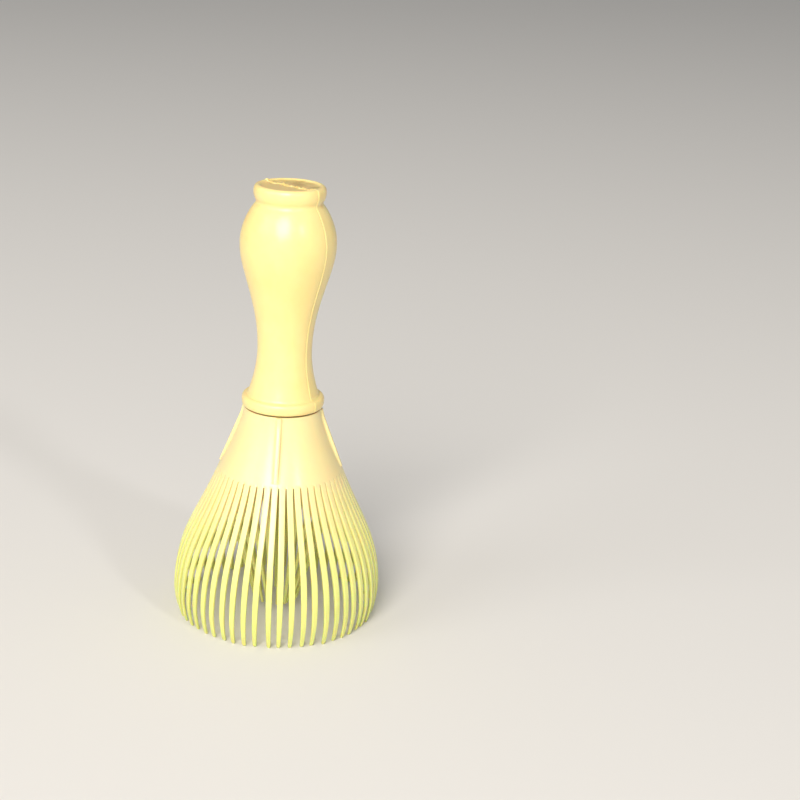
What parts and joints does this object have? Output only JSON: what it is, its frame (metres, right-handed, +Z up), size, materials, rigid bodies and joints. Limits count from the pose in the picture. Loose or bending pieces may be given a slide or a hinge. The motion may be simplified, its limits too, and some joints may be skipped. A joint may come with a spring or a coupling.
{
  "type": "tea whisk",
  "caption": "Moulded tea whisk with a hollow bulb handle, a ribbed bell skirt, slotted tines that bulge and curl in, and an inner basket of tines that narrows to the axis.",
  "frame": {"origin": "on the whisk's axis, at the height of the outer tine tips that it stands on", "axes": "+Z up the handle, +X and -X along the seam between the handle's front half (-Y) and rear half (+Y)"},
  "size_m": [0.062, 0.062, 0.131],
  "materials": {
    "handle_resin": "moulded cream plastic, semi-gloss, with a fine seam",
    "tine_resin": "moulded cream plastic, semi-gloss, tinted green by tea towards the tips"
  },
  "bodies": {
    "root": {"handle_front_half": "handle_resin", "handle_rear_half": "handle_resin", "outer_basket": "tine_resin", "inner_basket": "tine_resin"}
  },
  "joints": []
}
